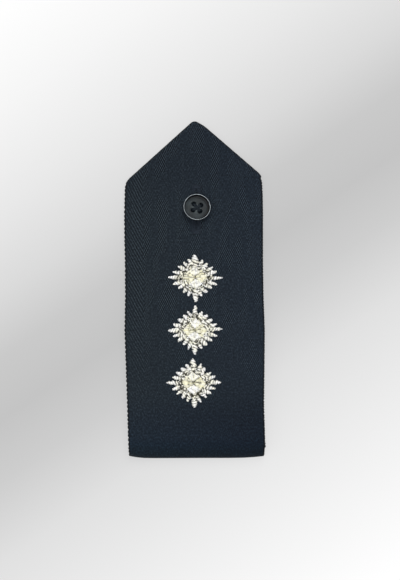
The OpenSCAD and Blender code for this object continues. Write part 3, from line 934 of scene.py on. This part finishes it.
def makePip(name, x, y, turn, tips):
    # the whole star is stitches: each has two ends in plan, rise, foot, warmth, shade and girth
    random = np.random.default_rng(int(abs(y) * 100) + 3)
    rows = []

    def vary(key, size=None):
        # evenly spread random numbers within the named limits
        return random.uniform(*pips["variety"][key], size)

    def sew(starts, ends, rise, foot, warmth, shade, girth=1.0):
        # keeps a row of stitches; a single number stands for all of them
        each = (np.broadcast_to(value, len(starts)) for value in (rise, foot, warmth, shade, girth))
        rows.append([starts, ends, *each])

    leaves = sewRays(sew, vary, random, tips)
    sewPetals(sew, vary)
    sewMiddle(sew, vary, random)
    starts, ends, rise, foot, warmth, shade, girth = (np.concatenate(column) for column in zip(*rows))
    paths, sideways = archedPaths(starts, ends, rise, foot)
    tubes = threadTubes(placeOnFace(paths, x, y, turn), spin(sideways, turn),
                        pips["thread"] / 2 * girth * vary("girth", len(starts)))
    looks = {key: np.repeat(values, len(tubes[0]) // len(starts))
             for key, values in (("shade", shade), ("warmth", warmth))}
    piece = meshPiece(name + "_stitches", *tubes, attributes=looks, slot="embroidery", replaces=[name])
    return piece, makePadding(name, x, y, turn, leaves)


def makePadding(name, x, y, turn, leaves):
    # low domes under the stitches, whose height falls to the cloth at every edge: the middle's by the
    # fourth power of the way out, a ray's as a sine across it and leafShape along it
    rise, foot, low = pips["domeRise"], pips["domeFoot"], pips["leafFoot"]
    share, angle = tubeGrid(1, 0.02, *pips["domeSteps"])
    height = rise * (1 - share ** 4) + foot
    dome = raised(pips["domeRadius"] * share[..., None] * heading(angle), height)
    parts = [closedTube(dome, [0, 0, 2 * foot], [0, 0, rise + foot])]
    u, v = tubeGrid(0, 1, *pips["leafSteps"])
    height = pips["leafRise"] * np.sin(v) * np.interp(u, *pips["leafShape"]) + low
    for origin, axis, root, reach, half in leaves:
        wide = half * np.interp(u, *pips["rayShape"]) * np.cos(v)
        plan = origin + (root + u * (reach - root))[..., None] * axis + wide[..., None] * leftOf(axis)
        ends = (raised(origin + s * axis, low) for s in (root, reach))
        parts.append(closedTube(raised(plan, height), *ends))
    points, faces = joinParts(parts)
    piece = meshPiece(name + "_padding", placeOnFace(points, x, y, turn), faces, slot="embroidery")
    closeSeams(piece)
    return piece


pipPieces = [makePip(*place) for place in pips["places"]]
print("the pips are embroidered:", sum(len(p.data.polygons) for pair in pipPieces for p in pair), "faces")


# materials: each function adds the nodes of one finish

herringbone = {
    # the rib's, base's and valley's tones are painted light and shade on the weave's relief
    "rib": "#333d46", "base": "#1a2129", "valley": "#090c10",
    "ribPitch": 2.1,  # up the tape from rib to rib
    "ribLean": 61.0,  # degrees from the weft
    "bandWidth": 7.2,  # half of a herringbone repeat
    "toEdge": 28.0,  # from the middle of the tape
    # across and along between the warp's floats, drawn coarser than the real 0.4 x 0.8 so that they show
    "floats": (0.84, 1.65),
    "wander": (0.2, 3.0, 1.6),  # of the rows: noise for each mm, its detail, how far
    "grain": (1.3, 3.0, 0.7, 5.0),  # of the yarn: noise for each mm, detail, roughness, height
    "levels": (0.9, 4.1),  # heights of the valley's and the rib's tone
    # four numbers: where a change begins and where it ends, and the strength before and after it
    # the ribs' painted light and shade is strongest along the left edge, where they catch the light
    "clearRibs": (6.4, 8.2, 1.0, 0.18), "clearFloats": (6.4, 8.2, 0.2, 1.1),  # from the left edge
    "edgeRibs": (2.6, 4.4, 0.65, 1.0),  # from the left edge, of the ribs beside it
    "pressed": (5.0, 66.0, 0.15, 1.0),  # from the fold's middle
    # painted shade: the cloth is darkened along every edge, where it rounds over
    "edgeTone": (0.1, 0.8, 0.32, 1.0),  # from any edge
    # floats show in patches, where a noise is over these values; they are about 4 wide and 15 long
    "patches": (0.47, 0.58, 0.12, 1.8), "patchNoise": (0.11, 1.0), "patchShape": (2.5, 0.6, 1.0),
    "foldMiddle": 113.0,  # along the tape, the middle of the fold at the foot
    "span": 240.0,  # length of tape that the tones below run over
    # painted shade: these tones darken the tape over the fold at the foot
    "tones": ((0.4, "#ffffff"), (0.458, "#abcbd9"), (0.4745, "#bddbf2"), (0.484, "#d2e3f5"),
              (0.517, "#dee6f1"), (0.555, "#fafcfd"), (0.66, "#ffffff"), (0.87, "#ffffff"),
              (0.93, "#f2f2f5")),
    "hues": ((0.0, "#fffef5"), (1.0, "#f3f9ff")),  # of the left and the right edge
    # painted light: the left side is lit more than the right
    "foldSideLight": (1.2, 0.8),  # brightness of the left and the right edge near the fold
    "faceSideLight": (1.04, 1.01),  # and away from it
    "fold": (10.0, 32.0),  # from the fold's middle: where the one gives way to the other
}


def wovenTape(add):
    # navy worsted tape, woven in herringbone: matt, with fine steep ribs that turn every few millimetres,
    # their tones painted light and shade, clearest along the left edge; painted shade darkens it over the
    # fold
    place = add("UVMap", uv_map="cloth")
    x, y = add("SeparateXYZ", place).outputs[:2]
    *noise, far = herringbone["wander"]
    up = add("Math", add("TexNoise", place, *noise), far, y, **timesPlus)
    fromLeft = add("Math", x, herringbone["toEdge"], operation="ADD")
    zigzag = add("Math", fromLeft, herringbone["bandWidth"], operation="PINGPONG")
    leaned = add("Math", zigzag, np.tan(np.radians(herringbone["ribLean"])), up, **timesPlus)
    rib = add("Math", add("Math", leaned, 2 * np.pi / herringbone["ribPitch"], **times), **sine)
    clearRibs, clearFloats, edgeRibs = (add("MapRange", fromLeft, *herringbone[key], **smooth)
                                        for key in ("clearRibs", "clearFloats", "edgeRibs"))
    # the ribs and floats are pressed flat near the fold at the foot
    toFold = add("Math", y, herringbone["foldMiddle"], operation="SUBTRACT")
    fromFold = add("Math", toFold, operation="ABSOLUTE")
    pressedFlat = add("MapRange", fromFold, *herringbone["pressed"], **smooth)
    clear = add("Math", add("Math", clearRibs, edgeRibs, **times), pressedFlat, **times)
    ribs = add("Math", rib, clear, **times)
    waves = [add("Math", add("Math", value, 2 * np.pi / pitch, **times), **sine)
             for value, pitch in zip((fromLeft, up), herringbone["floats"])]
    speckle = add("Math", *waves, **times)
    upright = add("Mapping", named={"Vector": place, "Scale": herringbone["patchShape"]})
    patchNoise = add("TexNoise", upright, *herringbone["patchNoise"])
    patchy = add("MapRange", patchNoise, *herringbone["patches"], **smooth)
    shown = add("Math", add("Math", clearFloats, patchy, **times), pressedFlat, **times)
    weave = add("Math", speckle, shown, ribs, **timesPlus)
    *noise, height = herringbone["grain"]
    rough = add("Math", add("TexNoise", place, *noise), height, weave, **timesPlus)
    tone = add("ValToRGB", add("MapRange", rough, *herringbone["levels"]), stops=(
        (0.0, herringbone["valley"]), (0.5, herringbone["base"]), (1.0, herringbone["rib"])))
    # painted shade along the tape: a pale blue darkening over the fold, where the cloth turns away from the
    # light, and hues across it
    along = add("Math", y, 1 / herringbone["span"], **times)
    share = add("Math", fromLeft, 0.5 / herringbone["toEdge"], **times)
    for position, stops in ((along, herringbone["tones"]), (share, herringbone["hues"])):
        tone = add("Mix", 1.0, tone, add("ValToRGB", position, stops=stops), **multiplied)
    # painted light makes the cloth's left paler than its right, most of all near the fold, and painted shade
    # makes its very edge dark
    fromEdge = add("Attribute", attribute_name="fromEdge").outputs["Fac"]
    # painted shade along every edge
    atEdge = add("MapRange", fromEdge, *herringbone["edgeTone"], **smooth)
    foldSideLight, faceSideLight = (add("MapRange", share, 0.0, 1.0, *herringbone[key])
                            for key in ("foldSideLight", "faceSideLight"))
    across = add("Mix", add("MapRange", fromFold, *herringbone["fold"], **smooth), foldSideLight, faceSideLight)
    colour = add("Mix", 1.0, tone, add("Math", atEdge, across, **times), **multiplied)
    bump = add("Bump", named={"Height": rough, "Strength": 0.7, "Distance": 0.07 * mm})
    return {"Base Color": colour, "Normal": bump, "Roughness": 0.9, "Specular IOR Level": 0.12,
            "Sheen Weight": 0.04, "Sheen Roughness": 0.5}


def twist(add, pitch):
    # height of a two-ply thread's surface: a sine that turns twice round it in each pitch along it
    x, y = add("SeparateXYZ", add("UVMap", uv_map="cloth")).outputs[:2]
    turns = add("Math", y, 1 / pitch, x, **timesPlus)
    return add("Math", add("Math", turns, 4 * np.pi, **times), **sine)


def spunThread(add, light, dark, pitch, roughness, specular):
    # two-ply spun thread: the plies' twist shows as slanting grooves that shade it from light to dark
    ply = twist(add, pitch)
    colour = add("Mix", add("MapRange", ply, -1.0, 1.0), toLinear(dark), toLinear(light), **blended)
    bump = add("Bump", named={"Height": ply, "Strength": 0.6, "Distance": 0.04 * mm})
    return {"Base Color": colour, "Normal": bump, "Roughness": roughness, "Specular IOR Level": specular}


silver = {
    "cool": "#fefefe", "warm": "#f7f2c9", "deep": "#38351f",  # palest, its warmer cast, deepest shade
    "turn": 0.8,  # mm for a turn of the twist
    "grooveShade": -0.06,  # how much deeper the shade is in its grooves
}


def silverThread(add):
    # silver-white trilobal embroidery thread: bright with a soft lustre along it; each stitch has its own
    # shade, partly random tone and partly painted shade, and the twist is a fine slanting groove, darkened by
    # painted shade
    shade, warmth = (add("Attribute", attribute_name=key).outputs["Fac"] for key in ("shade", "warmth"))
    cool, warm, deep = (toLinear(silver[key]) for key in ("cool", "warm", "deep"))
    ply = twist(add, silver["turn"])
    depth = add("Math", ply, silver["grooveShade"], shade, use_clamp=True, **timesPlus)
    colour = add("Mix", depth, add("Mix", warmth, cool, warm, **blended), deep, **blended)
    bump = add("Bump", named={"Height": ply, "Strength": 0.5, "Distance": 0.03 * mm})
    return {"Base Color": colour, "Normal": bump, "Roughness": 0.38, "Specular IOR Level": 0.75}


cotton = {
    "fibres": (1400.0, 3.0),  # noise for each metre, so that one is about 0.7 mm, and its detail
    # painted shade: dark olive greys for the gaps between stitches
    "tones": ((0.35, "#1b1b17"), (0.65, "#4c4a36")),
}


def cottonUnderlay(add):
    # cotton underlay of the embroidery, seen only in the gaps between stitches: its dark olive grey is
    # painted shade, the shade in those gaps
    grain = add("TexNoise", add("TexCoord").outputs["Object"], *cotton["fibres"])
    colour = add("ValToRGB", grain, stops=cotton["tones"])
    bump = add("Bump", named={"Height": grain, "Strength": 0.6, "Distance": 0.1 * mm})
    return {"Base Color": colour, "Normal": bump, "Roughness": 0.85, "Specular IOR Level": 0.2}


urea = {
    "clouds": (320.0, 4.0),  # noise for each metre, so that one is about 3 mm, and its detail
    "face": ((0.3, "#0a1013"), (0.7, "#222b2f")), "middleHighlight": "#40484b", "grooveShade": "#03060a", "rim": "#adb6bb",
    # painted highlight over the face's middle, between the holes
    "middleHighlightTo": (1.2, 2.6, 0.7, 0.0),  # from the middle: where it begins to fade and ends, how much
    # painted shade in the groove inside the rim
    "grooveShadeFrom": (4.2, 4.75),  # from the middle: where it begins and is blackest
    "rimHighlightFrom": (2.01, 2.055),  # over the underside: where the painted highlight on the rim begins and is palest
    "rimHighlightClouds": (0.3, 0.6, 0.7, 1.0),  # how strong the painted highlight is, by the clouds
}


def mouldedUrea(add):
    # compression-moulded urea button: satin near-black face, faintly clouded; a painted highlight over its
    # middle, painted shade in the groove inside the rim, blackest at its upper right, and a painted highlight
    # on the rim's top
    cloud = add("TexNoise", add("TexCoord").outputs["Object"], *urea["clouds"])
    radius, height = (add("Attribute", attribute_name=key).outputs["Fac"]
                      for key in ("fromMiddle", "aboveBase"))
    colour = add("ValToRGB", cloud, stops=urea["face"])
    middle = add("MapRange", radius, *urea["middleHighlightTo"], **smooth)
    grooveShade = add("MapRange", radius, *urea["grooveShadeFrom"], **smooth)
    rimTop = add("MapRange", height, *urea["rimHighlightFrom"], **smooth)
    rimHighlight = add("Math", rimTop, add("MapRange", cloud, *urea["rimHighlightClouds"]), **times)
    # painted highlight over the middle, painted shade in the groove, painted highlight on the rim
    for share, tone in ((middle, "middleHighlight"), (grooveShade, "grooveShade"), (rimHighlight, "rim")):
        colour = add("Mix", share, colour, toLinear(urea[tone]), **blended)
    bump = add("Bump", named={"Height": cloud, "Strength": 0.25, "Distance": 0.03 * mm})
    return {"Base Color": colour, "Normal": bump, "Roughness": 0.5, "Specular IOR Level": 0.2}


threads = {
    # light side, dark side, mm for a turn of the twist, roughness, specular
    "navyWeftYarn": ("#272f38", "#0e1216", 1.2, 0.9, 0.12),  # worsted yarn, as matt as the tape
    "navyButtonholeTwist": ("#333c48", "#05080b", 0.9, 0.8, 0.15),  # hard-twisted, with deep grooves
    "navyPolyesterThread": ("#1a242d", "#0a0f14", 0.8, 0.6, 0.2),  # smooth sewing thread, slightly shiny
}
weftYarn, buttonholeTwist, sewingThread = (
    newMaterial(name, spunThread, *look) for name, look in threads.items())
embroideryThread = newMaterial("silverWhiteThread", silverThread)
underlay = newMaterial("cottonUnderlay", cottonUnderlay)
for piece, material in (
        (strapCloth, newMaterial("navyHerringboneTape", wovenTape)), (selvedgeLoops, weftYarn),
        (buttonholeStitches, buttonholeTwist), (sewnButton, newMaterial("blackUreaButton", mouldedUrea)),
        (buttonStitches, sewingThread), *((stitches, embroideryThread) for stitches, _ in pipPieces),
        *((padding, underlay) for _, padding in pipPieces)):
    piece.data.materials.append(material)
print("the materials are on")
